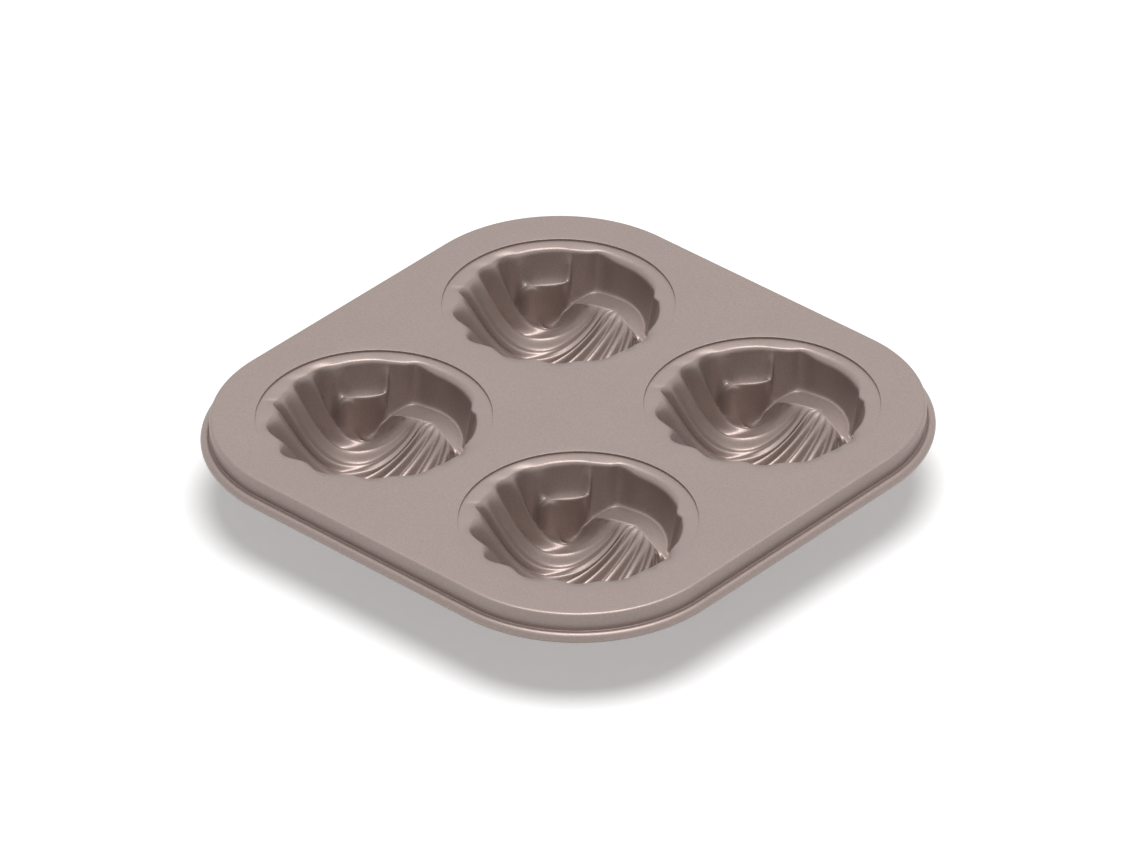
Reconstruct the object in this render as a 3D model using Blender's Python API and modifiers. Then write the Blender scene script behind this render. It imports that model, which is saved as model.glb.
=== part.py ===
"""Mini muffin pan: a square sheet tray with a wired edge and four pressed cups in the form of a scallop shell.

All lengths are in metres. The tray's centre is at x = y = 0 and the lowest points of the cups are at z = 0.
Each cup is pressed from its own sheet, and its flange is joined to the underside of the plate round a plain hole.
"""
import math

import bmesh
import bpy
import numpy as np

# Sizes of the tray
SEAM_RADIUS = 0.035        # radius of the plate's hole
CUP_GAP = 0.011            # width of plate between two neighbouring holes
PLATE_BORDER = 0.01277     # width of plate between a hole and the upper edge of the skirt
CUP_PITCH = 2 * SEAM_RADIUS + CUP_GAP                   # distance between the centres of two neighbouring cups
PLATE_HALF = CUP_PITCH / 2 + SEAM_RADIUS + PLATE_BORDER         # half the width of the flat plate
PLATE_CORNER = 0.0458      # radius of the plate's corners in plan
SHEET = 0.0006             # thickness of the tray's sheet and of the cups
EDGE_RADIUS = 0.0011       # rounding between plate and skirt
SKIRT_OUT = 0.0006         # how far the skirt leans out
SKIRT_DEPTH = 0.0055       # how far the skirt reaches down
BEAD_OUT = 0.00107         # centre of the rolled edge, outside the plate's edge
BEAD_RADIUS = 0.00165      # outer radius of the rolled edge
BEAD_RISE = 0.00005        # how far the rolled edge reaches above the skirt's end
BEAD_DROP = SKIRT_DEPTH + BEAD_RADIUS - BEAD_RISE       # centre of the rolled edge, below the plate's top
BEAD_START = math.radians(105)
BEAD_SWEEP = math.radians(285)
CLEARANCE = 0.0003         # gap between two pieces that bear on each other

# Sizes of the lap joint
LAP = 0.0028               # how far the cup's flange reaches under the plate
FLANGE_DROP = SHEET + CLEARANCE      # top of the cup's flange, below the plate's top

# Form of a cup, in units of the seam radius. Angles run anticlockwise from the +X axis, in degrees.
HINGE_DEG = 82.5           # direction from the cup's centre to the hinge of the shell
FLOOR = 0.72               # depth of the floor at the ribs
LAND = 0.745               # depth of the flat land at the bottom of the flutes
DRAFT = 0.14               # slope of the walls
FLUTE_DEPTH = 0.05         # depth of a flute below its ribs
PLATEAU = 0.355            # depth of the raised hinge plate
PLATEAU_FRONT = 0.58       # its front edge, along the hinge direction
PLATEAU_HALF = 0.40        # half its width
EAR_DEPTH = 0.285          # depth of the ledge in each ear
EAR_LONG = 0.235           # reach of the ledge inward
EARS = ((140.0, 0.29), (29.5, 0.275))                 # direction and half width of each ear
RIBS = (160, 174, 190, 206, 221, 240, 264, 288, 318, 344, 372)      # where each rib meets the outline
CUSPS = (.875, .875, .855, .845, .84, .86, .875, .875, .90, .88, .88)   # outline radius at each rib
LOBES = (.90, .905, .915, .91, .935, .945, .945, .945, .95, .945)     # outline radius in each flute
BACK_OUTLINE = ((12, .88), (15, .895), (20, .905), (29, .91), (38, .905), (43, .89), (47, .85), (51, .87),
                (58, .91), (66, .935), (82.5, .945), (99, .94), (105, .925), (110, .905), (118, .87),
                (122, .885), (127, .905), (139, .915), (150, .905), (153, .89), (156.5, .895), (160, .875))
BACK_START = ((12, .52, -.38), (20, .53, -.43), (29, .57, -.44), (38, .61, -.435), (47, .66, -.42),
              (55, .72, -.38), (66, .80, -.25), (82.5, .835, .0), (99, .80, .25), (110, .72, .40),
              (118, .66, .44), (128, .61, .455), (139, .57, .46), (150, .53, .455), (160, .494, .44))
POLE = (0.70, 0.0)         # point on the hinge plate where the columns of the mesh meet

# Mesh steps
FLUTE_STEPS = 3
BACK_COLUMNS = (17, 23, 29, 35, 41, 44, 47, 51, 58, 66, 78, 88, 99, 107, 112, 118, 121, 125, 131, 137, 143, 149,
                153, 156.5)
CUP_ROWS = 11
CORNER_STEPS = 8
HOLE_STEPS = 48
CURL_STEPS = 9

HEIGHT = SEAM_RADIUS * LAND + FLANGE_DROP + SHEET        # top of the plate above the ground


def smooth_min(p, q, width):
    """Smaller of two depths, blended over a width."""
    h = np.clip(0.5 + 0.5 * (q - p) / width, 0, 1)
    return q + (p - q) * h - width * h * (1 - h)


def smooth_step(x):
    """0 below zero, 1 above one, with a smooth S between."""
    x = np.clip(x, 0, 1)
    return x * x * (3 - 2 * x)


def outline(deg):
    """Radius of the cup's opening at a polar angle: lobes between the ribs, ears and the smooth back wall."""
    g = np.mod(np.asarray(deg, float) - 12, 360) + 12
    tau = np.interp(g, RIBS, range(len(RIBS)))
    i = np.clip(np.floor(tau).astype(int), 0, len(LOBES) - 1)
    cusp = np.interp(tau, range(len(CUSPS)), CUSPS)
    lobe = cusp + (np.asarray(LOBES)[i] - cusp) * np.sin(np.pi * np.clip(tau - i, 0, 1)) ** 0.85
    angles, radii = np.transpose(BACK_OUTLINE)
    return np.where(g <= RIBS[0], np.interp(g, angles, radii), lobe)


def plan_lines(deg, k):
    """Points of the mesh columns in hinge axes: from the pole to the hinge plate's edge, then curved to the outline.

    deg is the polar angle at which a column meets the outline; k runs from 0 at the pole to 1 at the outline.
    The curved part is a quadratic curve whose middle point lies near the line of the ribs.
    """
    g = np.mod(deg - 12, 360) + 12
    tau = np.interp(g, RIBS, range(len(RIBS)))
    angles, start_a, start_b = np.transpose(BACK_START)
    fluted = g > RIBS[0]
    b0 = np.where(fluted, 0.44 - 0.082 * tau, np.interp(g, angles, start_b))
    a0 = np.where(fluted, 0.60 - 0.55 * b0 ** 2, np.interp(g, angles, start_a))
    weight = flute_weight(g)
    turn = np.radians(g - HINGE_DEG)
    a2, b2 = outline(g) * np.cos(turn), outline(g) * np.sin(turn)
    a1 = a0 + (0.5 + 0.05 * weight) * (a2 - a0)
    b1 = b0 + (0.5 - 0.36 * weight) * (b2 - b0)
    near = 0.15
    s = np.clip((k - near) / (1 - near), 0, 1)
    a = (1 - s) ** 2 * a0 + 2 * s * (1 - s) * a1 + s * s * a2
    b = (1 - s) ** 2 * b0 + 2 * s * (1 - s) * b1 + s * s * b2
    inner = np.clip(k / near, 0, 1)
    a = np.where(k < near, POLE[0] + (a0 - POLE[0]) * inner, a)
    b = np.where(k < near, POLE[1] + (b0 - POLE[1]) * inner, b)
    return a, b


def flute_weight(g):
    """1 for the columns of the fluted side, falling to 0 within the ears."""
    return np.maximum(smooth_step((g - 148) / 12), smooth_step((24 - g) / 12))


def wall_depth(t, edge, foot):
    """Depth at distance t inside the outline: rounded edge, drafted wall and elliptic foot, solved by bisection."""
    low, high = np.zeros_like(t), np.full_like(t, FLOOR)
    for _ in range(26):
        mid = 0.5 * (low + high)
        arc = np.where(mid < edge, np.sqrt(np.maximum(edge ** 2 - (edge - mid) ** 2, 0)), edge)
        reach = (arc + DRAFT * np.maximum(mid - edge, 0)
                 + foot * (1 - np.sqrt(np.maximum(1 - (mid / FLOOR) ** 2, 0))))
        high = np.where(reach > t, mid, high)
        low = np.where(reach > t, low, mid)
    return np.where(t <= 0, 0, 0.5 * (low + high))


def cup_depth(a, b, g):
    """Depth of the cup at a plan point of column g: wall, hinge plate, ribs and ear ledges, blended."""
    radius = np.hypot(a, b)
    deg = np.mod(np.degrees(np.arctan2(b, a)) + HINGE_DEG - 12, 360) + 12
    tau = np.interp(g, RIBS, range(len(RIBS)))
    weight = flute_weight(g)
    rim = weight * outline(g) + (1 - weight) * outline(deg)
    back = np.exp(-np.minimum(np.abs(deg - 80) / 22, 9) ** 6)
    edge = 0.02 + 0.04 * back
    foot = 0.45 - 0.38 * np.exp(-((deg - HINGE_DEG) / 55) ** 4)
    depth = wall_depth(rim - radius, edge, foot)
    corner = 0.14
    out_a = np.maximum(PLATEAU_FRONT + corner - a, 0)
    out_b = np.maximum(np.abs(b) - (PLATEAU_HALF - corner), 0)
    fall = np.maximum(np.hypot(out_a, out_b) - corner, 0)
    depth = smooth_min(depth, PLATEAU + 0.25 * b ** 2 + 1.25 * fall, 0.09)
    start = 0.60 - 0.55 * b ** 2
    grow = smooth_step((start - a) / 0.07) * (g >= RIBS[0]) * smooth_step((depth - 0.12) / 0.3)
    size = FLUTE_DEPTH * (0.35 + 0.65 * smooth_step((start - a) / 0.6))
    depth = depth + size * grow * np.abs(np.sin(np.pi * tau)) ** 0.9
    for direction, half in EARS:
        turn = np.radians(direction - HINGE_DEG)
        out = a * np.cos(turn) + b * np.sin(turn)
        side = -a * np.sin(turn) + b * np.cos(turn)
        q = np.sqrt((side / half) ** 2 + ((0.89 - out) / EAR_LONG) ** 2)
        depth = smooth_min(depth, EAR_DEPTH + 2.4 * EAR_LONG * np.maximum(q - 1, 0), 0.05)
    return np.where(radius >= rim, 0, np.minimum(depth, LAND))


def cup_columns():
    """Polar angles of the mesh columns: even steps in each flute and the listed ones at the back."""
    taus = np.arange(0, (len(RIBS) - 1) * FLUTE_STEPS + 1) / FLUTE_STEPS
    fluted = np.interp(taus, range(len(RIBS)), RIBS)
    return np.concatenate([np.asarray(BACK_COLUMNS, float), fluted])


def cup_cavity(rows):
    """Cavity of a cup as a grid of points, from near the pole out to the outline, even steps along each column."""
    g = cup_columns()[:, None]
    fine = np.linspace(0, 1, 240)[None, :]
    a, b = plan_lines(g, fine)
    z = -cup_depth(a, b, g)
    z[:, -1] = 0
    step = np.sqrt(np.diff(a) ** 2 + np.diff(b) ** 2 + np.diff(z) ** 2)
    length = np.concatenate([np.zeros((len(g), 1)), np.cumsum(step, 1)], 1)
    grid = np.empty((len(g), rows, 3))
    for i in range(len(g)):
        k = np.interp(np.linspace(0, length[i, -1], rows + 1)[1:], length[i], fine[0])
        pa, pb = plan_lines(g[i], k)
        pz = -cup_depth(pa, pb, g[i])
        pz[-1] = 0
        grid[i] = np.stack([pa, pb, pz], 1)
    h = math.radians(HINGE_DEG)
    x = grid[..., 0] * math.cos(h) - grid[..., 1] * math.sin(h)
    y = grid[..., 0] * math.sin(h) + grid[..., 1] * math.cos(h)
    pole = np.array([POLE[0] * math.cos(h), POLE[0] * math.sin(h),
                     -float(cup_depth(np.array([POLE[0]]), np.array([0.0]), np.array([82.5]))[0])])
    return np.stack([x, y, grid[..., 2]], 2) * SEAM_RADIUS, pole * SEAM_RADIUS


def arc(cx, cz, radius, start, end, steps):
    """Points of a circular arc in the radius-height plane, without its first point."""
    turn = np.linspace(start, end, steps + 1)[1:]
    return [(cx + radius * math.cos(t), cz + radius * math.sin(t)) for t in turn]


def new_object(name, bm, collection, material):
    """Object from a bmesh, smooth shaded."""
    mesh = bpy.data.meshes.new(name)
    for face in bm.faces:
        face.smooth = True
    bm.to_mesh(mesh)
    bm.free()
    mesh.set_sharp_from_angle(angle=math.radians(35))
    obj = bpy.data.objects.new(name, mesh)
    collection.objects.link(obj)
    mesh.materials.append(material)
    return obj


def skin(bm, rings):
    """Quads between successive closed rings of vertices."""
    for inner, outer in zip(rings, rings[1:]):
        n = len(inner)
        for i in range(n):
            j = (i + 1) % n
            bm.faces.new((inner[i], outer[i], outer[j], inner[j]))


def thicken(obj, even):
    """Sheet thickness below the modelled face."""
    solid = obj.modifiers.new("sheet", "SOLIDIFY")
    solid.thickness = SHEET
    solid.offset = -1
    solid.use_even_offset = even
    solid.use_quality_normals = True


def cup_mesh():
    """Visible face of one cup with its flange and hook, around the cup's own centre."""
    grid, pole = cup_cavity(CUP_ROWS)
    turn = np.arctan2(grid[:, -1, 1], grid[:, -1, 0])
    bm = bmesh.new()
    centre = bm.verts.new((pole[0], pole[1], HEIGHT - FLANGE_DROP + pole[2]))
    rings = []
    for row in range(grid.shape[1]):
        rings.append([bm.verts.new((p[0], p[1], HEIGHT - FLANGE_DROP + p[2])) for p in grid[:, row]])
    for radius in (SEAM_RADIUS, SEAM_RADIUS + LAP):
        z = HEIGHT - FLANGE_DROP
        rings.append([bm.verts.new((radius * math.cos(t), radius * math.sin(t), z)) for t in turn])
    first = rings[0]
    for i in range(len(first)):
        bm.faces.new((centre, first[i], first[(i + 1) % len(first)]))
    skin(bm, rings)
    return bm


def rounded_square(half, radius, z):
    """Loop of points of a rounded square, anticlockwise from the +X side."""
    points = []
    for quarter in range(4):
        base = quarter * math.pi / 2
        cx = (half - radius) * (math.cos(base) - math.sin(base))
        cy = (half - radius) * (math.sin(base) + math.cos(base))
        for i in range(CORNER_STEPS + 1):
            t = base + math.pi / 2 * i / CORNER_STEPS
            points.append((cx + radius * math.cos(t), cy + radius * math.sin(t), z))
    return points


def rim_profile():
    """Offset from the plate's edge and height along the tray's visible face, from plate to the end of the curl."""
    points = [(-EDGE_RADIUS, 0.0)]
    points += arc(-EDGE_RADIUS, -EDGE_RADIUS, EDGE_RADIUS, math.pi / 2, 0, 3)
    points += [(SKIRT_OUT, -SKIRT_DEPTH + 0.0001)]
    points += arc(BEAD_OUT, -BEAD_DROP, BEAD_RADIUS, BEAD_START, BEAD_START - BEAD_SWEEP, CURL_STEPS)
    return points


def build_tray(collection, material):
    """Plate with four collared holes, skirt and rolled edge, from one sheet."""
    bm = bmesh.new()
    rings = []
    for offset, z in rim_profile():
        loop = rounded_square(PLATE_HALF + offset, PLATE_CORNER + offset, HEIGHT + z)
        rings.append([bm.verts.new(p) for p in loop])
    skin(bm, rings)
    borders = [rings[0]]
    turns = [2 * math.pi * i / HOLE_STEPS for i in range(HOLE_STEPS)]
    for cx, cy in cup_centres().values():
        borders.append([bm.verts.new((cx + SEAM_RADIUS * math.cos(t), cy + SEAM_RADIUS * math.sin(t), HEIGHT))
                        for t in turns])
    edges = []
    for ring in borders:
        for a, b in zip(ring, ring[1:] + ring[:1]):
            edges.append(bm.edges.get((a, b)) or bm.edges.new((a, b)))
    bmesh.ops.triangle_fill(bm, use_beauty=True, use_dissolve=False, edges=edges, normal=(0, 0, 1))
    bmesh.ops.recalc_face_normals(bm, faces=bm.faces)
    bm.faces.ensure_lookup_table()
    top = max((f for f in bm.faces if abs(f.normal.z) > 0.9), key=lambda f: f.calc_center_median().z)
    if top.normal.z < 0:
        bmesh.ops.reverse_faces(bm, faces=bm.faces)
    tray = new_object("tray_plate", bm, collection, material)
    thicken(tray, True)


def build_wire(collection, material):
    """Steel wire inside the rolled edge, as a closed curve with a round section."""
    curve = bpy.data.curves.new("rim_wire", "CURVE")
    curve.dimensions = "3D"
    curve.bevel_depth = BEAD_RADIUS - SHEET - CLEARANCE
    curve.bevel_resolution = 1
    spline = curve.splines.new("POLY")
    loop = rounded_square(PLATE_HALF + BEAD_OUT, PLATE_CORNER + BEAD_OUT, HEIGHT - BEAD_DROP)
    spline.points.add(len(loop) - 1)
    for point, place in zip(spline.points, loop):
        point.co = (*place, 1)
    spline.use_cyclic_u = True
    spline.use_smooth = True
    wire = bpy.data.objects.new("rim_wire", curve)
    collection.objects.link(wire)
    curve.materials.append(material)


def cup_centres():
    """Centre of each cup in plan, by name."""
    half = CUP_PITCH / 2
    return {"cup_back_left": (-half, half), "cup_front_left": (-half, -half),
            "cup_back_right": (half, half), "cup_front_right": (half, -half)}


def make_material(name, colour, metallic, roughness):
    """Principled material of one sub-part."""
    material = bpy.data.materials.new(name)
    material.use_nodes = True
    shader = material.node_tree.nodes["Principled BSDF"]
    shader.inputs["Base Color"].default_value = (*colour, 1)
    shader.inputs["Metallic"].default_value = metallic
    shader.inputs["Roughness"].default_value = roughness
    return material


def main():
    """Build every sub-part of the pan."""
    for obj in list(bpy.data.objects):
        bpy.data.objects.remove(obj, do_unlink=True)
    parts = bpy.data.collections.new("mini_muffin_pan")
    bpy.context.scene.collection.children.link(parts)
    build_tray(parts, make_material("tray_coating", (0.33, 0.28, 0.26), 0.6, 0.4))
    build_wire(parts, make_material("wire_steel", (0.55, 0.55, 0.55), 1.0, 0.3))
    first = None
    for name, (cx, cy) in cup_centres().items():
        material = make_material(name + "_coating", (0.2, 0.16, 0.13), 0.6, 0.4)
        if first is None:
            cup = first = new_object(name, cup_mesh(), parts, material)
        else:
            cup = bpy.data.objects.new(name, first.data.copy())
            parts.objects.link(cup)
            cup.data.materials[0] = material
        cup.location = (cx, cy, 0)
        thicken(cup, False)


main()
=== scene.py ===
"""Mini muffin pan: a coated square sheet with a rolled edge and four pressed cups shaped like shells.

Laid out as an add-on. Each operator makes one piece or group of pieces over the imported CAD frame, in metres.
"""
import math

import bmesh
import bpy
import numpy as np
from bpy.props import FloatProperty, FloatVectorProperty, IntProperty, PointerProperty
from mathutils import Matrix, Vector


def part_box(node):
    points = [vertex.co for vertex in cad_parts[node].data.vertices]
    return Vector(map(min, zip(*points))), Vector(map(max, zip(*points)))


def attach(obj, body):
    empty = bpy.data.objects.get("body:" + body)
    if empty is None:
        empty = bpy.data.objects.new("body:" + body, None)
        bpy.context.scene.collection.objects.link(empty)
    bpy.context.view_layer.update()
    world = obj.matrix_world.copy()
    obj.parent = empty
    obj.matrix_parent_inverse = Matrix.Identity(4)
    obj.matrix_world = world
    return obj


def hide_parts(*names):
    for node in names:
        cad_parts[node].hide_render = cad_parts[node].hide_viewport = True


bl_info = {
    "name": "Mini muffin pan",
    "version": (1, 0, 0),
    "blender": (4, 5, 0),
    "location": "View3D > Sidebar > Muffin pan",
    "description": "Coated sheet pan with four shell-shaped cups",
    "category": "Add Mesh",
}

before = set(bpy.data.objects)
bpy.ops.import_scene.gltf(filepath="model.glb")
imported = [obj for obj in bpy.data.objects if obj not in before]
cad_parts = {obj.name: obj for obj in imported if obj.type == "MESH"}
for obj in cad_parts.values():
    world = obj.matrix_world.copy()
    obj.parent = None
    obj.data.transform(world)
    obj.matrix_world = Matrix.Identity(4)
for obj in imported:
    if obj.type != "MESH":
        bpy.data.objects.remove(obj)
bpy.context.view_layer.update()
PLATE_TOP = float(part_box("tray_plate")[1][2])
CUP_NODES = {"cup_back_left": (-1, 1), "cup_front_left": (-1, -1),
             "cup_back_right": (1, 1), "cup_front_right": (1, -1)}

# Form of a cup, in units of the hole's radius. Angles run anticlockwise from +X, in degrees.
# Each line of the fluted side: where it meets the outline, the outline's radius there, where it starts on
# the hinge plate's front, how much it bends, and its height at the outline and at the hinge plate, from 0
# in a flute to 1 on a rib.
SHELL_LINES = (
    (157.0, .892, .375, .50, 1, 1), (166.0, .897, .335, .50, 0, 0), (174.5, .885, .283, .50, 1, 1),
    (182.5, .885, .230, .43, 0, .75), (190.0, .868, .178, .37, 1, 1), (196.5, .866, .155, .25, .7, 0),
    (202.0, .872, .130, .11, .9, 1), (206.5, .892, .113, .07, 0, .8), (211.5, .872, .098, .03, .9, 1),
    (217.0, .866, .085, .00, 1, 0), (230.0, .922, .062, .00, 0, 1), (245.0, .878, .036, .00, 1, 0),
    (257.0, .942, -.002, .02, 0, 1), (270.0, .888, -.045, .05, 1, 0), (285.0, .932, -.087, .08, 0, 1),
    (300.0, .888, -.135, .12, 1, 0), (311.0, .922, -.186, .16, 0, 1), (322.0, .902, -.240, .22, 1, 0),
    (335.0, .935, -.285, .30, 0, 1), (348.0, .912, -.325, .38, 1, 0), (353.0, .914, -.350, .45, 0, 1),
    (358.0, .914, -.370, .48, 1, .7), (366.0, .920, -.388, .50, 0, 1), (373.5, .880, -.405, .50, 1, 1))
# The rest of the outline: angle and radius.
BACK = (
    (13.5, .880), (17, .888), (22, .897), (30, .895), (40, .886), (45, .88), (50, .845), (55, .866),
    (60, .897), (66, .922), (74, .935), (90, .94), (102, .94), (109, .93), (114, .89), (118, .878),
    (123, .875), (128, .89), (135, .897), (146, .897), (151, .893), (154, .890), (157, .892))
# Where the columns of that side leave the hinge plate: angle, and place in hinge axes.
STARTS = (
    (13.5, .543, -.405), (25, .57, -.43), (35, .60, -.44), (45, .64, -.42), (55, .72, -.37), (66, .80, -.25),
    (80, .84, .0), (99, .80, .25), (108, .73, .37), (118, .66, .41), (128, .61, .42), (140, .57, .41),
    (150, .53, .395), (157, .495, .375))
EARS = ((141.0, 15.0, .71, .32), (31.0, 12.0, .74, .37))       # direction, half angle, lip radius, depth
POLE = (0.70, 0.0)              # point of the hinge plate where the columns meet
PLATE_SHARE = 0.15              # share of a column's rows that lie on the hinge plate
COLUMNS_PER_LINE = 9
BACK_COLUMNS = 200
CUP_ROWS = 112
BLEND_DEPTH = 0.12              # depth from which every blend of two depths has its whole width
LINE_ENDS, LINE_RIMS, LINE_STARTS, LINE_BENDS, RIM_HEIGHTS, HINGE_HEIGHTS = np.transpose(SHELL_LINES)

# Hinge plate and the slope round it.
FRONT_ARC = (0.75, 0.35)        # how fast its front edge falls back to the left and to the right
PLATE_CROWN = 0.25              # how fast it falls towards its sides
PLATE_EDGE = 0.04               # width of the rounding at its front
SLOPE_TOP = 0.06                # how far in front of its front edge the slope begins
SLOPE_CORNER = 0.14             # rounding of its corners in plan
SLOPE_HALF = 0.43               # half width of the plate between the slopes at its sides
SLOPE_SHIFT = 0.04              # how far the middle of the plate lies to the right
SLOPE = 1.15                    # fall per distance
SLOPE_BLEND = 0.09              # width of the rounding between slope and wall

# Fluted side. Shares are of a column's run from the hinge plate to the outline.
FADE = 9.0                      # angle over which it passes into the rest
LINE_MIDDLE = 0.53              # share, along the hinge direction, at which a line's middle point lies
BACK_BEND = 0.5                 # bend of the columns of the rest
LEAST_SHOULDER = 0.02           # rounding of the flutes at the outline
RECESS_REACH = 0.15             # distance over which a flute is cut into the wall
LIFT = 0.045                    # how much higher the floor lies under the leftmost lines
LIFT_SIDE = (90.0, 205.0, 12.0)                 # angles between which it lies higher, and width of the fade
SWITCH = (0.35, 0.5)            # share where a line leaves its height at the plate, and share that takes
THIN_FLUTES = (200.0, 15.0)     # angle from which flutes are narrower than ribs, and width of the fade
CUT_START = (0.03, 0.12)        # share before the plate's edge where a flute begins, and share to full depth
CUT_END = 0.25                  # share over which a flute runs out at the outline
PLATE_CUT = 0.45                # depth of a flute at the hinge plate as a share of the whole
PLATE_CUT_END = 0.6             # share where a flute has its whole depth

# Wall of the rest.
WALL_EDGE = 0.024               # rounding at its top
BACK_EDGE = (0.05, 82.0, 24.0)  # further rounding at the back, its direction and its spread
WALL_FOOT = 0.30                # rounding at its foot
BACK_FOOT = (0.22, 82.5, 50.0)  # how much less that is at the back, its direction and its spread

# Pocket of an ear.
EAR_POWER = 3.5                 # power of the oblong that bounds it
EAR_OUTER = 0.86                # radius from which its length to the lip is measured
EAR_WIDTH = 0.90                # radius at which its half angle is measured
EAR_TAPER = 0.30                # share by which it narrows to the centre
EAR_EDGE = 0.03                 # rounding at the top of its wall
EAR_DRAFT = 0.15                # slope of its wall
EAR_FOOT = 0.04                 # rounding at the foot of its wall
LIP_HEIGHT = 0.065
LIP_WIDTH = 0.2                 # as a share of the oblong
LIP_DEPTH = 0.2                 # depth of the pocket from which the lip has its height
EAR_FALL = (1.05, 2.6)          # size of the oblong where the fall to the floor begins, and its slope
EAR_BLEND = 0.06                # width of the rounding to what lies round it

# Rolled edge and joints, in radians and metres: where the skirt meets the roll, how far the roll runs round,
# and the bend between skirt and roll.
ROLL_START = math.radians(128)
ROLL_SWEEP = math.radians(310)
ROLL_BEND = np.array([-0.00012, 0.0003])
ROLL_TUCK = np.array([-0.0007, 0.0])            # from the roll's inner end to the skirt's inner face
HOLE_BEVEL = 0.00012            # rounding of the holes' edges
SEAM_GAP = 0.00003              # gap between the plate and the cups' flanges
MERGE = 2e-6                    # distance below which points are one


class PanSizes(bpy.types.PropertyGroup):
    """Lengths of the pan, as measured from its photograph."""
    cup_pitch: FloatProperty(name="Cup spacing", description="Distance between neighbouring cup centres",
                             default=0.081, unit="LENGTH")
    hole_radius: FloatProperty(name="Hole radius", description="Radius of the plate's holes",
                               default=0.035, unit="LENGTH")
    plate_half: FloatProperty(name="Half width", description="Half width of the plate up to its skirt",
                              default=0.08827, unit="LENGTH")
    plate_corner: FloatProperty(name="Corner radius", description="Radius of the plate's corners in plan",
                                default=0.0458, unit="LENGTH")
    sheet: FloatProperty(name="Sheet", description="Thickness of the sheets", default=0.0006, unit="LENGTH")
    edge_radius: FloatProperty(name="Edge rounding", description="Rounding between plate and skirt",
                               default=0.0011, unit="LENGTH")
    bead_out: FloatProperty(name="Roll offset", description="Centre of the roll outside the plate's edge",
                            default=0.00107, unit="LENGTH")
    bead_drop: FloatProperty(name="Roll drop", description="Centre of the rolled edge below the plate",
                             default=0.0071, unit="LENGTH")
    bead_radius: FloatProperty(name="Roll radius", description="Outer radius of the rolled edge",
                               default=0.00165, unit="LENGTH")
    flange_lap: FloatProperty(name="Flange lap", description="Reach of a cup's flange under the plate",
                              default=0.0028, unit="LENGTH")


class CupForm(bpy.types.PropertyGroup):
    """Proportions of a cup, in units of the hole's radius."""
    floor: FloatProperty(name="Floor depth", description="Depth of the floor at the ribs", default=0.69)
    land: FloatProperty(name="Land depth", description="Greatest depth", default=0.745)
    draft: FloatProperty(name="Draft", description="Slope of the walls", default=0.13)
    low: FloatProperty(name="Lowest point", description="Share of a rib's run where it lies lowest",
                       default=0.47)
    steep: FloatProperty(name="Wall power", description="Power of the fluted wall's curve", default=2.6)
    shoulder: FloatProperty(name="Rib shoulder", description="Further rounding of the ribs at the outline",
                            default=0.10)
    flute: FloatProperty(name="Flute depth", description="Depth of a flute below its ribs", default=0.085)
    recess: FloatProperty(name="Flute recess", description="How far a flute is cut into the wall",
                          default=0.06)
    plateau: FloatProperty(name="Hinge plate depth", description="Depth of the raised hinge plate",
                           default=0.352)
    plateau_front: FloatProperty(name="Hinge plate front", description="Front edge of the hinge plate",
                                 default=0.60)
    smoothing: IntProperty(name="Smoothing", description="Passes that average neighbouring points",
                           default=4, min=0)
    hinge: FloatProperty(name="Hinge direction", description="Direction from the cup's centre to its hinge",
                         default=math.radians(82.5), subtype="ANGLE")


class Finish(bpy.types.PropertyGroup):
    """Colours and gloss of the coating and the wire."""
    coating: FloatVectorProperty(name="Coating", description="Colour of the coating", subtype="COLOR",
                                 default=(0.372, 0.297, 0.274), min=0, max=1)
    metallic: FloatProperty(name="Metallic", description="Metallic share of the coating",
                            default=0.55, min=0, max=1)
    specular: FloatProperty(name="Specular", description="Specular level of the coating's other share",
                            default=0.35, min=0, max=1)
    roughness: FloatProperty(name="Roughness", description="Roughness of the coating",
                             default=0.4, min=0, max=1)
    wire: FloatVectorProperty(name="Wire", description="Colour of the steel wire", subtype="COLOR",
                              default=(0.45, 0.44, 0.43), min=0, max=1)


class Stage(bpy.types.PropertyGroup):
    """Camera, light and floor."""
    azimuth: FloatProperty(name="Azimuth", description="Camera direction round the pan", subtype="ANGLE",
                           default=math.radians(42.33))
    elevation: FloatProperty(name="Elevation", description="Camera height angle", subtype="ANGLE",
                             default=math.radians(33.98))
    roll: FloatProperty(name="Roll", description="Camera roll", subtype="ANGLE",
                        default=math.radians(-0.48))
    distance: FloatProperty(name="Distance", description="Camera distance", default=3.0054, unit="LENGTH")
    aim: FloatVectorProperty(name="Aim", description="Point of the plate that the camera looks at",
                             size=2, default=(0.0070175, -0.0069825), unit="LENGTH", precision=6)
    lens: FloatProperty(name="Lens", description="Focal length in millimetres", default=322.97)
    lamp: FloatProperty(name="Lamp", description="Power of the soft lamp in watts", default=70)
    lamp_size: FloatProperty(name="Lamp size", description="Width of the lamp", default=2.2, unit="LENGTH")
    lamp_place: FloatVectorProperty(name="Lamp place", description="Place of the lamp",
                                    default=(0.0, 0.25, 3.0), subtype="TRANSLATION")
    paper: FloatProperty(name="Paper", description="Glow of the white floor as the camera sees it",
                         default=0.35)
    floor_half: FloatProperty(name="Floor", description="Half width of the floor", default=3.0,
                              unit="LENGTH")
    sky: FloatProperty(name="Sky", description="Strength of the even light from all sides", default=0.12)


def smooth_min(p, q, width):
    """The smaller of two depths, blended by a quadratic where they differ by less than the width.

    The width shrinks to nothing as the depths do.
    """
    width = width * smooth_step(np.abs(np.minimum(p, q)) / BLEND_DEPTH) + 1e-6
    h = np.clip(0.5 + 0.5 * (q - p) / width, 0, 1)
    return q + (p - q) * h - width * h * (1 - h)


def smooth_step(x):
    """0 below zero, 1 above one, and 3x^2 - 2x^3 between."""
    x = np.clip(x, 0, 1)
    return x * x * (3 - 2 * x)


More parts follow.
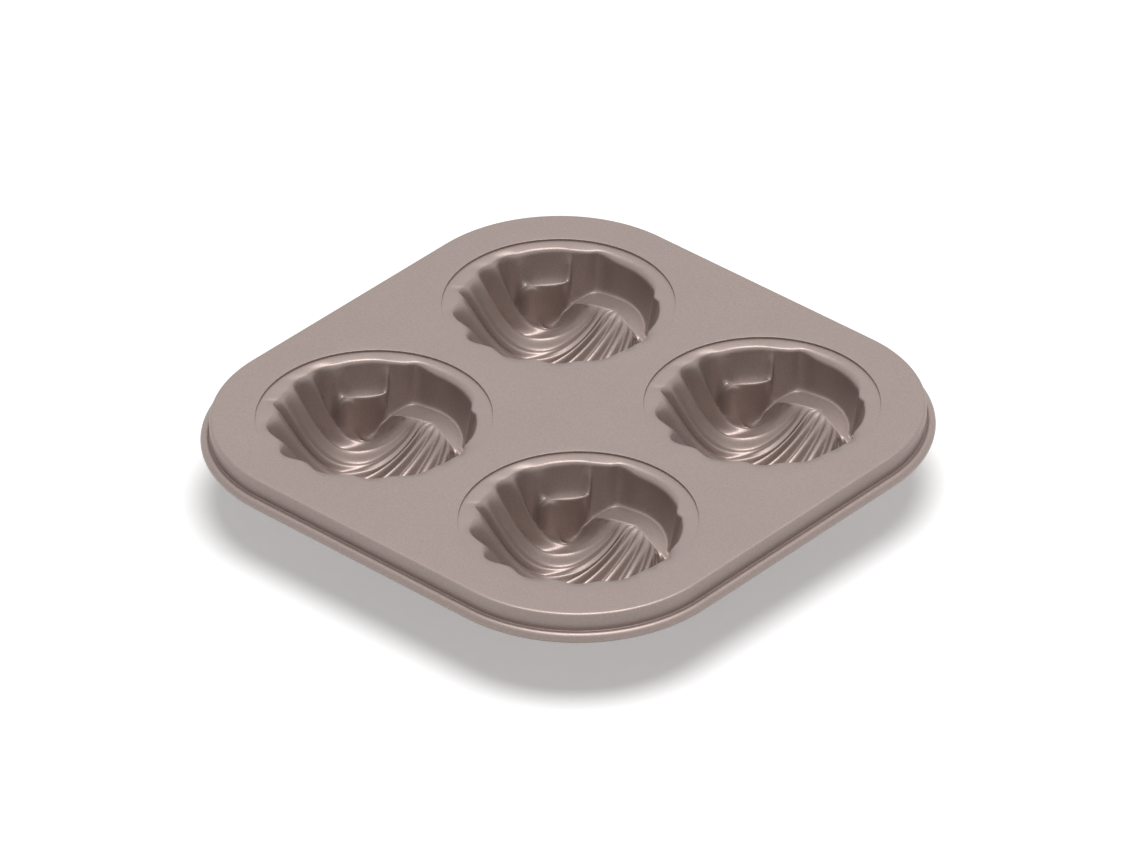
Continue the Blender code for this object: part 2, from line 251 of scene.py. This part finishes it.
def smooth_curve(x, table):
    """Values of a table of points joined by monotone cubic pieces."""
    xs, ys = np.transpose(np.asarray(table, float))
    h = np.diff(xs)
    d = np.diff(ys) / h
    m = np.zeros_like(ys)
    w1, w2 = 2 * h[1:] + h[:-1], h[1:] + 2 * h[:-1]
    same = d[:-1] * d[1:] > 0
    safe = np.where(same, d[:-1], 1), np.where(same, d[1:], 1)
    m[1:-1] = np.where(same, (w1 + w2) / (w1 / safe[0] + w2 / safe[1]), 0)
    m[0], m[-1] = d[0], d[-1]
    i = np.clip(np.searchsorted(xs, x) - 1, 0, len(h) - 1)
    t = np.clip((x - xs[i]) / h[i], 0, 1)
    return ((1 + 2 * t) * (1 - t) ** 2 * ys[i] + t * (1 - t) ** 2 * h[i] * m[i]
            + t * t * (3 - 2 * t) * ys[i + 1] + t * t * (t - 1) * h[i] * m[i + 1])


def wrap_deg(deg):
    """Polar angle moved into the range that starts at the last shell line."""
    first = LINE_ENDS[-1] - 360
    return np.mod(np.asarray(deg, float) - first, 360) + first


def line_number(g):
    """Number of the shell line through polar angle g of the outline, whole at the lines of the table."""
    return np.interp(g, LINE_ENDS, np.arange(len(LINE_ENDS)))


def between(tau, values):
    """Values of the shell lines joined by smooth steps, level at each line."""
    i = np.clip(np.floor(tau).astype(int), 0, len(values) - 2)
    return values[i] + (values[i + 1] - values[i]) * smooth_step(tau - i)


def outline(deg):
    """Radius of a cup's opening, from the shell lines on the fluted side and a smooth curve elsewhere."""
    g = wrap_deg(deg)
    return np.where(g <= LINE_ENDS[0], smooth_curve(g, BACK), between(line_number(g), LINE_RIMS))


def flute_weight(g):
    """1 for the columns of the fluted side, falling to 0 within the ears."""
    return np.maximum(smooth_step((g - LINE_ENDS[0] + FADE) / FADE),
                      smooth_step((LINE_ENDS[-1] - 360 + FADE - g) / FADE))


def rib_top(form, b):
    """Place along the hinge direction where the ribs begin: a shallow arc across the hinge plate's front."""
    left, right = FRONT_ARC
    return form.plateau_front - left * np.maximum(b, 0) ** 2 - right * np.minimum(b, 0) ** 2


def plate_depth(form, b):
    """Depth of the hinge plate, a parabola across its width."""
    return form.plateau + PLATE_CROWN * b ** 2


def column_points(form, g):
    """Start, middle and end point of a column's curve, in hinge axes (a to the hinge, b to its left)."""
    tau = line_number(g)
    number = np.arange(len(LINE_ENDS))
    angles, start_a, start_b = np.transpose(STARTS)
    fluted = g > LINE_ENDS[0]
    b0 = np.where(fluted, np.interp(tau, number, LINE_STARTS), smooth_curve(g, list(zip(angles, start_b))))
    a0 = np.where(fluted, rib_top(form, b0), smooth_curve(g, list(zip(angles, start_a))))
    bend = np.where(fluted, np.interp(tau, number, LINE_BENDS), BACK_BEND)
    turn = np.radians(g) - form.hinge
    a2, b2 = outline(g) * np.cos(turn), outline(g) * np.sin(turn)
    return (a0, b0), (a0 + LINE_MIDDLE * (a2 - a0), b0 + bend * (b2 - b0)), (a2, b2)


def plan_lines(form, g, k):
    """Mesh columns in hinge axes.

    A column runs straight from the pole to the edge of the hinge plate, then along a quadratic Bezier curve
    to the outline. The smaller a line's bend number, the nearer its middle point lies to its start's b.
    """
    (a0, b0), (a1, b1), (a2, b2) = column_points(form, g)
    s = np.clip((k - PLATE_SHARE) / (1 - PLATE_SHARE), 0, 1)
    a = (1 - s) ** 2 * a0 + 2 * s * (1 - s) * a1 + s * s * a2
    b = (1 - s) ** 2 * b0 + 2 * s * (1 - s) * b1 + s * s * b2
    inner = np.clip(k / PLATE_SHARE, 0, 1)
    a = np.where(k < PLATE_SHARE, POLE[0] + (a0 - POLE[0]) * inner, a)
    b = np.where(k < PLATE_SHARE, POLE[1] + (b0 - POLE[1]) * inner, b)
    return a, b


def wall_depth(t, edge, draft, foot, floor):
    """Depth at distance t inside the outline, by bisection: round edge, drafted wall and elliptic foot."""
    low, high = np.zeros_like(t), np.broadcast_to(floor, t.shape).copy()
    top = high.copy()
    for _ in range(30):
        mid = 0.5 * (low + high)
        arc_reach = np.where(mid < edge, np.sqrt(np.maximum(edge ** 2 - (edge - mid) ** 2, 0)), edge)
        reach = (arc_reach + draft * np.maximum(mid - edge, 0)
                 + foot * (1 - np.sqrt(np.maximum(1 - (mid / top) ** 2, 0))))
        high = np.where(reach > t, mid, high)
        low = np.where(reach > t, low, mid)
    return np.where(t <= 0, 0, 0.5 * (low + high))


def flute_cut(form, tau, g, x):
    """Depth of the flutes below the bowl at share x of a column's run, 0 on the ribs.

    A line passes from its height at the hinge plate to its height at the outline by a smooth step. The cut is
    what the height lacks to 1, to a power from 1 to 2, times the flute's depth, which is less at the plate.
    """
    at_rim, at_hinge = between(tau, RIM_HEIGHTS), between(tau, HINGE_HEIGHTS)
    height = at_hinge + (at_rim - at_hinge) * smooth_step((x - SWITCH[0]) / SWITCH[1])
    groove = (1 - height) ** (1 + smooth_step((g - THIN_FLUTES[0]) / THIN_FLUTES[1]))
    reach = smooth_step((x + CUT_START[0]) / CUT_START[1]) * smooth_step((1 - x) / CUT_END)
    return form.flute * groove * reach * (PLATE_CUT + (1 - PLATE_CUT) * smooth_step(x / PLATE_CUT_END))


def shell_depth(form, a, b, g, k):
    """Depth of the fluted side: along each column a bowl from the hinge plate's edge down and up again.

    With x running from 0 at the edge to 1 at the outline, the bowl is a parabola up to its lowest point and a
    power curve beyond, and the flutes are cut below it.
    """
    (a0, b0), _, (a2, b2) = column_points(form, g)
    tau = line_number(g)
    at_rim = between(tau, RIM_HEIGHTS)
    near = np.hypot(a - a0, b - b0) * np.where(k < PLATE_SHARE, -1, 1)
    rounding = LEAST_SHOULDER + form.shoulder * at_rim
    far = np.hypot(a - a2, b - b2)
    far = np.hypot(far, rounding) - rounding + form.recess * (1 - at_rim) * smooth_step(far / RECESS_REACH)
    x = near / (np.abs(near) + far + 1e-9)
    first, last, fade = LIFT_SIDE
    floor = form.floor - LIFT * smooth_step((last - g) / fade) * (g > first)
    top, low = plate_depth(form, b), form.low
    inner = floor - (floor - top) * np.maximum((low - x) / low, 0) ** 2
    inner = -smooth_min(-inner, -top, PLATE_EDGE)
    outer = floor * (1 - np.clip((x - low) / (1 - low), 0, 1) ** form.steep)
    return np.where(x < low, inner, outer) + flute_cut(form, tau, g, x)


def plain_depth(form, a, b, deg, inside):
    """Depth of the rest, at distance inside the outline: the wall blended with the slope round the plate."""
    more, middle, spread = BACK_EDGE
    back = np.exp(-np.minimum(np.abs(deg - middle) / spread, 9) ** 6)
    less, foot_middle, foot_spread = BACK_FOOT
    foot = WALL_FOOT - less * np.exp(-((deg - foot_middle) / foot_spread) ** 4)
    wall = wall_depth(inside, WALL_EDGE + more * back, form.draft, foot, form.land)
    before = np.maximum(rib_top(form, b) - SLOPE_TOP + SLOPE_CORNER - a, 0)
    beside = np.maximum(np.abs(b + SLOPE_SHIFT) - (SLOPE_HALF - SLOPE_CORNER), 0)
    off_plate = np.maximum(np.hypot(before, beside) - SLOPE_CORNER, 0)
    return smooth_min(wall, plate_depth(form, b) + SLOPE * off_plate, SLOPE_BLEND)


def add_ear(depth, ear, x, y, inside):
    """Depth with the pocket of one ear laid over it, at plan points (x, y).

    The pocket is bounded by an oblong, a superellipse that narrows to the centre. On its edge stands the lip,
    a Gaussian ridge, and beyond it the surface falls steeply to what lies round the ear.
    """
    direction, half, lip, level = ear
    c, s = math.cos(math.radians(direction)), math.sin(math.radians(direction))
    out, side = x * c + y * s, -x * s + y * c
    across = EAR_WIDTH * math.sin(math.radians(half))
    beside = np.abs(side / (across * (1 - EAR_TAPER + EAR_TAPER * np.clip(out / EAR_WIDTH, 0, 1))))
    before = np.maximum((EAR_OUTER - out) / (EAR_OUTER - lip), 0)
    oblong = (beside ** EAR_POWER + before ** EAR_POWER) ** (1 / EAR_POWER)
    pocket = wall_depth(inside, EAR_EDGE, EAR_DRAFT, EAR_FOOT, level)
    ridge = LIP_HEIGHT * np.exp(-((oblong - 1) / LIP_WIDTH) ** 2) * smooth_step(pocket / LIP_DEPTH)
    start, slope = EAR_FALL
    return smooth_min(depth, pocket - ridge + slope * np.maximum(oblong - start, 0), EAR_BLEND)


def cup_depth(form, a, b, g, k):
    """Depth of a cup at plan point (a, b), which is point k of column g, in hole radii.

    The fluted side has its own form, which fades into the rest. The two ears are laid over both.
    """
    radius = np.hypot(a, b)
    deg = wrap_deg(np.degrees(np.arctan2(b, a) + form.hinge))
    weight = flute_weight(g)
    rim = weight * outline(g) + (1 - weight) * outline(deg)
    plain = plain_depth(form, a, b, deg, rim - radius)
    depth = plain + weight * (shell_depth(form, a, b, g, k) - plain)
    x, y = radius * np.cos(np.radians(deg)), radius * np.sin(np.radians(deg))
    for ear in EARS:
        depth = add_ear(depth, ear, x, y, rim - radius)
    return np.where(radius >= rim, 0, np.minimum(depth, form.land))


def averaged(grid, passes):
    """Grid with each point averaged with its neighbours, first round the cup and then along its column.

    The first and the last row are averaged round the cup alone.
    """
    for _ in range(passes):
        grid = 0.5 * grid + 0.25 * (np.roll(grid, 1, 0) + np.roll(grid, -1, 0))
        grid[:, 1:-1] = 0.5 * grid[:, 1:-1] + 0.25 * (grid[:, :-2] + grid[:, 2:])
    return grid


def cup_surface(form):
    """Cavity of one cup as a grid, columns by rows from near the pole to the outline, with its pole point.

    The rows of each column are spaced evenly along its length in space.
    """
    taus = np.arange(0, (len(LINE_ENDS) - 1) * COLUMNS_PER_LINE + 1) / COLUMNS_PER_LINE
    fluted = np.interp(taus, np.arange(len(LINE_ENDS)), LINE_ENDS)
    back = np.linspace(LINE_ENDS[-1] - 360, LINE_ENDS[0], BACK_COLUMNS + 1)[1:-1]
    g = np.concatenate([back, fluted])[:, None]
    fine = np.linspace(0, 1, 500)[None, :]
    a, b = plan_lines(form, g, fine)
    z = -cup_depth(form, a, b, g, fine)
    z[:, -1] = 0
    step = np.sqrt(np.diff(a) ** 2 + np.diff(b) ** 2 + np.diff(z) ** 2)
    length = np.concatenate([np.zeros((len(g), 1)), np.cumsum(step, 1)], 1)
    want = np.linspace(0, 1, CUP_ROWS + 1)[None, 1:] * length[:, -1:]
    k = np.stack([np.interp(want[i], length[i], fine[0]) for i in range(len(g))])
    a, b = plan_lines(form, g, k)
    z = -cup_depth(form, a, b, g, k)
    z[:, -1] = 0
    pole_depth = cup_depth(form, np.array([[POLE[0]]]), np.array([[POLE[1]]]),
                           np.array([[math.degrees(form.hinge)]]), np.zeros((1, 1)))[0, 0]
    c, s = math.cos(form.hinge), math.sin(form.hinge)
    grid = averaged(np.stack([a * c - b * s, a * s + b * c, z], -1), form.smoothing)
    pole = np.array([POLE[0] * c - POLE[1] * s, POLE[0] * s + POLE[1] * c, -pole_depth])
    return grid, pole


def grid_faces(n, m, round_u, start=0):
    """Quads of an n by m grid of points, whose first direction may run round."""
    i, j = np.meshgrid(np.arange(n if round_u else n - 1), np.arange(m - 1), indexing="ij")
    i, j = i.ravel(), j.ravel()
    i2, j2 = (i + 1) % n, j + 1
    return np.stack([i * m + j, i2 * m + j, i2 * m + j2, i * m + j2], 1) + start


def make_piece(name, points, faces, material, closed=True):
    """Mesh object from arrays of points and faces, with doubles merged and faces turned outwards.

    An open sheet, which isn't closed, has its top face turned up.
    """
    mesh = bpy.data.meshes.new(name)
    mesh.from_pydata(points, [], faces)
    bm = bmesh.new()
    bm.from_mesh(mesh)
    bmesh.ops.remove_doubles(bm, verts=bm.verts, dist=MERGE)
    bmesh.ops.dissolve_degenerate(bm, edges=bm.edges, dist=1e-7)
    bmesh.ops.recalc_face_normals(bm, faces=bm.faces)
    if not closed:
        top = max(bm.faces, key=lambda f: f.calc_center_median().z)
        if top.normal.z < 0:
            bmesh.ops.reverse_faces(bm, faces=bm.faces)
    bm.to_mesh(mesh)
    bm.free()
    mesh.shade_smooth()
    mesh.materials.append(material)
    piece = bpy.data.objects.new(name, mesh)
    bpy.context.scene.collection.objects.link(piece)
    return piece


def arc(cx, cz, radius, start, end, steps):
    """Points of a circular arc without its first point."""
    t = np.linspace(start, end, steps + 1)[1:]
    return np.stack([cx + radius * np.cos(t), cz + radius * np.sin(t)], 1)


def rim_section(sizes):
    """Section of skirt and rolled edge: offset outside the plate's edge, and height from the plate's top.

    It runs down the outer face, round the roll to its cut end, and back along the inner face. It is open
    where the plate joins it.
    """
    r, t = sizes.edge_radius, sizes.sheet
    cx, cz = sizes.bead_out, -sizes.bead_drop
    outer = sizes.bead_radius
    inner = outer - t
    middle = 0.5 * (outer + inner)
    end = ROLL_START - ROLL_SWEEP
    toward = np.array([math.cos(ROLL_START), math.sin(ROLL_START)])
    join, back = (cx, cz) + outer * toward, (cx, cz) + inner * toward
    skirt_end = join + ROLL_BEND
    return np.concatenate([
        [[-r, 0.0]],
        arc(-r, -r, r, math.pi / 2, 0, 10),
        np.linspace((0, -r), skirt_end, 8)[1:],
        [join],
        arc(cx, cz, outer, ROLL_START, end, 44),
        arc(cx + middle * math.cos(end), cz + middle * math.sin(end), t / 2, end, end - math.pi, 4),
        arc(cx, cz, inner, end, ROLL_START, 36),
        [back + ROLL_TUCK],
        np.linspace(skirt_end - (t, 0), (-t, -r), 8),
        arc(-r, -r, r - t, 0, math.pi / 2, 4)])


def quarter_edge(sizes, straight=22, corner=64):
    """Points and outward normals of the plate's edge in the quarter with x and y positive."""
    half, radius = sizes.plate_half, sizes.plate_corner
    c = half - radius
    side = np.linspace(0, c, straight + 1)[:-1]
    t = np.linspace(0, math.pi / 2, corner + 1)
    points = np.concatenate([np.stack([np.full(straight, half), side], 1),
                             np.stack([c + radius * np.cos(t), c + radius * np.sin(t)], 1),
                             np.stack([side[::-1], np.full(straight, half)], 1)])
    normals = np.concatenate([np.tile([1.0, 0.0], (straight, 1)), np.stack([np.cos(t), np.sin(t)], 1),
                              np.tile([0.0, 1.0], (straight, 1))])
    return points, normals


def plate_quarter(sizes, inner_steps=60):
    """Plate round one hole, as rays from the hole's edge to the outline of the quarter.

    The rays end on the flat plate's edge or on the pan's two centre lines. Each row is a share of the ray,
    and the section runs from the top round the hole's edge to the underside.
    """
    centre = np.array([sizes.cup_pitch / 2] * 2)
    edge, normals = quarter_edge(sizes)
    edge = edge - normals * sizes.edge_radius
    first = math.atan2(edge[-1, 1] - centre[1], -centre[0])
    up = np.linspace(first, math.radians(225), inner_steps + 1)[1:]
    left = np.stack([np.zeros(inner_steps), centre[1] - centre[0] * np.tan(up)], 1)
    left[-1] = 0
    border = np.concatenate([edge, left, left[-2::-1, ::-1]])
    ray = border - centre
    away = ray / np.linalg.norm(ray, axis=1, keepdims=True)
    r, t = sizes.hole_radius + HOLE_BEVEL, sizes.sheet
    lip = np.concatenate([arc(r, -HOLE_BEVEL, HOLE_BEVEL, math.pi / 2, math.pi, 4),
                          arc(r, -t + HOLE_BEVEL, HOLE_BEVEL, math.pi, math.pi * 1.5, 4)])
    shares = np.linspace(0, 1, 7)
    hole = centre + away * r
    rows = [np.column_stack([hole + (border - hole) * share, np.zeros(len(border))])
            for share in shares[::-1]]
    rows += [np.column_stack([centre + away * radius, np.full(len(border), z)]) for radius, z in lip]
    rows += [np.column_stack([hole + (border - hole) * share, np.full(len(border), -t)])
             for share in shares[1:]]
    return np.stack(rows, 1)


def mirrored(points):
    """The four quarters of a grid of points mirrored about the centre lines."""
    return [points * (sx, sy, 1) for sx in (1, -1) for sy in (1, -1)]


def coating_material(name, finish):
    """Satin metallic coating: fine flakes, soft mottling and slight orange peel, from object space noise."""
    material = bpy.data.materials.new(name)
    material.use_nodes = True
    nodes, links = material.node_tree.nodes, material.node_tree.links
    shader = nodes["Principled BSDF"]
    shader.inputs["Metallic"].default_value = finish.metallic
    shader.inputs["Specular IOR Level"].default_value = finish.specular
    place = nodes.new("ShaderNodeTexCoord")

    def noise(scale, detail):
        node = nodes.new("ShaderNodeTexNoise")
        node.inputs["Scale"].default_value = scale
        node.inputs["Detail"].default_value = detail
        links.new(place.outputs["Object"], node.inputs["Vector"])
        return node.outputs["Fac"]

    def spread(value, low, high):
        node = nodes.new("ShaderNodeMapRange")
        node.inputs["To Min"].default_value = low
        node.inputs["To Max"].default_value = high
        node.inputs["From Min"].default_value = 0.3
        node.inputs["From Max"].default_value = 0.7
        links.new(value, node.inputs["Value"])
        return node.outputs["Result"]

    flakes = spread(noise(2600, 2), 0.9, 1.1)
    mottle = spread(noise(45, 3), 0.985, 1.015)
    product = nodes.new("ShaderNodeMath")
    product.operation = "MULTIPLY"
    links.new(flakes, product.inputs[0])
    links.new(mottle, product.inputs[1])
    colour = nodes.new("ShaderNodeVectorMath")
    colour.operation = "SCALE"
    colour.inputs[0].default_value = finish.coating
    links.new(product.outputs[0], colour.inputs["Scale"])
    links.new(colour.outputs[0], shader.inputs["Base Color"])
    gloss = spread(noise(1400, 2), finish.roughness - 0.04, finish.roughness + 0.05)
    links.new(gloss, shader.inputs["Roughness"])
    bump = nodes.new("ShaderNodeBump")
    bump.inputs["Strength"].default_value = 0.12
    bump.inputs["Distance"].default_value = 0.00008
    links.new(noise(2200, 2), bump.inputs["Height"])
    links.new(bump.outputs["Normal"], shader.inputs["Normal"])
    return material


def wire_material(finish):
    """Drawn steel wire with fine patches of roughness."""
    material = bpy.data.materials.new("drawn_wire")
    material.use_nodes = True
    nodes, links = material.node_tree.nodes, material.node_tree.links
    shader = nodes["Principled BSDF"]
    shader.inputs["Metallic"].default_value = 1.0
    shader.inputs["Base Color"].default_value = (*finish.wire, 1)
    place = nodes.new("ShaderNodeTexCoord")
    noise = nodes.new("ShaderNodeTexNoise")
    noise.inputs["Scale"].default_value = 900
    reach = nodes.new("ShaderNodeMapRange")
    reach.inputs["To Min"].default_value = 0.25
    reach.inputs["To Max"].default_value = 0.45
    links.new(place.outputs["Object"], noise.inputs["Vector"])
    links.new(noise.outputs["Fac"], reach.inputs["Value"])
    links.new(reach.outputs["Result"], shader.inputs["Roughness"])
    return material


def seen(nodes, links):
    """Socket that is 1 for rays from the camera, in reflections and through glass, and 0 for others."""
    path = nodes.new("ShaderNodeLightPath")
    value = path.outputs["Is Camera Ray"]
    for name in ("Is Glossy Ray", "Is Transmission Ray"):
        larger = nodes.new("ShaderNodeMath")
        larger.operation = "MAXIMUM"
        links.new(value, larger.inputs[0])
        links.new(path.outputs[name], larger.inputs[1])
        value = larger.outputs[0]
    return value


def floor_material(stage):
    """Matt white floor with a glow that only the camera and reflections see."""
    material = bpy.data.materials.new("floor_white")
    material.use_nodes = True
    nodes, links = material.node_tree.nodes, material.node_tree.links
    shader = nodes["Principled BSDF"]
    shader.inputs["Base Color"].default_value = (0.97, 0.97, 0.97, 1)
    shader.inputs["Roughness"].default_value = 1.0
    shader.inputs["Specular IOR Level"].default_value = 0.0
    shader.inputs["Emission Color"].default_value = (1, 1, 1, 1)
    glow = nodes.new("ShaderNodeMath")
    glow.operation = "MULTIPLY"
    glow.inputs[1].default_value = stage.paper
    links.new(seen(nodes, links), glow.inputs[0])
    links.new(glow.outputs[0], shader.inputs["Emission Strength"])
    return material


class PAN_OT_tray(bpy.types.Operator):
    """Make the plate with its holes, skirt and rolled edge"""
    bl_idname = "muffin_pan.tray"
    bl_label = "Tray"

    def execute(self, context):
        sizes = context.scene.pan_sizes
        section = rim_section(sizes)
        edge, normals = quarter_edge(sizes)
        flat = edge[:, None, :] + normals[:, None, :] * section[None, :, :1]
        rim = np.concatenate([flat, np.broadcast_to(section[None, :, 1:], flat.shape[:2] + (1,))], 2)
        points, faces, count = [], [], 0
        for grid, runs_round in ((plate_quarter(sizes), True), (rim, False)):
            n, m, _ = grid.shape
            for quarter in mirrored(grid):
                points.append(quarter.reshape(-1, 3))
                faces.append(grid_faces(n, m, runs_round, count))
                count += n * m
        points = np.concatenate(points) + (0, 0, PLATE_TOP)
        material = coating_material("tray_coating", context.scene.pan_finish)
        tray = make_piece("tray", points, np.concatenate(faces), material)
        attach(tray, "root")
        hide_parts("tray_plate")
        return {"FINISHED"}


class PAN_OT_cups(bpy.types.Operator):
    """Make the four shell-shaped cups"""
    bl_idname = "muffin_pan.cups"
    bl_label = "Cups"

    def execute(self, context):
        sizes, form = context.scene.pan_sizes, context.scene.pan_form
        grid, pole = cup_surface(form)
        turn = np.arctan2(grid[:, -1, 1], grid[:, -1, 0])
        flange = [np.stack([r * np.cos(turn), r * np.sin(turn), np.zeros(len(turn))], -1)
                  for r in (1.0, 1.0 + sizes.flange_lap / sizes.hole_radius)]
        shape = np.concatenate([grid, np.stack(flange, 1)], 1)
        n, m, _ = shape.shape
        base = np.concatenate([shape.reshape(-1, 3), pole[None]]) * sizes.hole_radius
        faces = grid_faces(n, m, True).tolist()
        first = np.arange(n) * m
        faces += np.stack([np.full(n, n * m), first, np.roll(first, -1)], 1).tolist()
        material = coating_material("cup_coating", context.scene.pan_finish)
        top = PLATE_TOP - sizes.sheet - SEAM_GAP
        for node, (sx, sy) in CUP_NODES.items():
            centre = (sx * sizes.cup_pitch / 2, sy * sizes.cup_pitch / 2, top)
            cup = make_piece(node.replace("cup", "shell_cup"), base + centre, faces, material, closed=False)
            wall = cup.modifiers.new("sheet", "SOLIDIFY")
            wall.thickness = sizes.sheet
            wall.offset = -1
            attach(cup, "root")
            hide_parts(node)
        return {"FINISHED"}


class PAN_OT_wire(bpy.types.Operator):
    """Give the wire in the rolled edge its steel finish"""
    bl_idname = "muffin_pan.wire"
    bl_label = "Rim wire"

    def execute(self, context):
        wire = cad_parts["rim_wire"]
        wire.data.materials.clear()
        wire.data.materials.append(wire_material(context.scene.pan_finish))
        return {"FINISHED"}


class PAN_OT_stage(bpy.types.Operator):
    """Make the floor, the light and the camera"""
    bl_idname = "muffin_pan.stage"
    bl_label = "Stage"

    def execute(self, context):
        scene, stage = context.scene, context.scene.pan_stage
        h = stage.floor_half
        mesh = bpy.data.meshes.new("floor")
        mesh.from_pydata([(-h, -h, 0), (h, -h, 0), (h, h, 0), (-h, h, 0)], [], [(0, 1, 2, 3)])
        mesh.materials.append(floor_material(stage))
        floor = bpy.data.objects.new("floor", mesh)
        scene.collection.objects.link(floor)
        self.light(scene, stage)
        self.camera(scene, stage)
        scene.view_settings.view_transform = "Standard"
        return {"FINISHED"}

    def light(self, scene, stage):
        """Even sky, white to the camera and in reflections, and one large soft lamp overhead."""
        world = bpy.data.worlds.new("sky")
        scene.world = world
        world.use_nodes = True
        nodes, links = world.node_tree.nodes, world.node_tree.links
        background = nodes["Background"]
        background.inputs["Color"].default_value = (1, 1, 1, 1)
        level = nodes.new("ShaderNodeMapRange")
        level.inputs["To Min"].default_value = stage.sky
        level.inputs["To Max"].default_value = 1.0
        links.new(seen(nodes, links), level.inputs["Value"])
        links.new(level.outputs["Result"], background.inputs["Strength"])
        lamp = bpy.data.lights.new("softbox", "AREA")
        lamp.shape = "DISK"
        lamp.size = stage.lamp_size
        lamp.energy = stage.lamp
        box = bpy.data.objects.new("softbox", lamp)
        box.location = stage.lamp_place
        box.rotation_euler = (-Vector(stage.lamp_place)).to_track_quat("-Z", "Y").to_euler()
        scene.collection.objects.link(box)

    def camera(self, scene, stage):
        """Camera fitted to the photograph: it looks at a point of the plate's top."""
        az, el = stage.azimuth, stage.elevation
        back = np.array([math.sin(az) * math.cos(el), -math.cos(az) * math.cos(el), math.sin(el)])
        right = np.array([math.cos(az), math.sin(az), 0.0])
        up = np.cross(back, right)
        c, s = math.cos(stage.roll), math.sin(stage.roll)
        right, up = c * right + s * up, -s * right + c * up
        place = np.array([*stage.aim, PLATE_TOP]) + back * stage.distance
        lens = bpy.data.cameras.new("camera")
        lens.sensor_fit = "HORIZONTAL"
        lens.sensor_width = 36
        lens.lens = stage.lens
        lens.clip_end = 20
        camera = bpy.data.objects.new("camera", lens)
        matrix = Matrix.Identity(4)
        for i in range(3):
            matrix[i] = (right[i], up[i], back[i], place[i])
        camera.matrix_world = matrix
        scene.collection.objects.link(camera)
        scene.camera = camera


class PAN_PT_panel(bpy.types.Panel):
    """Sizes of the pan and a button for each piece"""
    bl_idname = "PAN_PT_panel"
    bl_label = "Muffin pan"
    bl_space_type = "VIEW_3D"
    bl_region_type = "UI"
    bl_category = "Muffin pan"

    def draw(self, context):
        layout = self.layout
        for group_name in GROUPS:
            group = getattr(context.scene, group_name)
            box = layout.box()
            for name in group.__annotations__:
                box.prop(group, name)
        for operator in OPERATORS:
            layout.operator(operator.bl_idname)


GROUPS = {"pan_sizes": PanSizes, "pan_form": CupForm, "pan_finish": Finish, "pan_stage": Stage}
OPERATORS = (PAN_OT_tray, PAN_OT_cups, PAN_OT_wire, PAN_OT_stage)


def register():
    """Register the classes and attach the settings to the scene."""
    for cls in (*GROUPS.values(), *OPERATORS, PAN_PT_panel):
        bpy.utils.register_class(cls)
    for name, cls in GROUPS.items():
        setattr(bpy.types.Scene, name, PointerProperty(type=cls))


def unregister():
    """Remove the settings and the classes."""
    for name in GROUPS:
        delattr(bpy.types.Scene, name)
    for cls in reversed((*GROUPS.values(), *OPERATORS, PAN_PT_panel)):
        bpy.utils.unregister_class(cls)


def main():
    """Make every piece over the frame."""
    register()
    bpy.ops.muffin_pan.tray()
    bpy.ops.muffin_pan.cups()
    bpy.ops.muffin_pan.wire()
    bpy.ops.muffin_pan.stage()


if __name__ == "__main__":
    main()
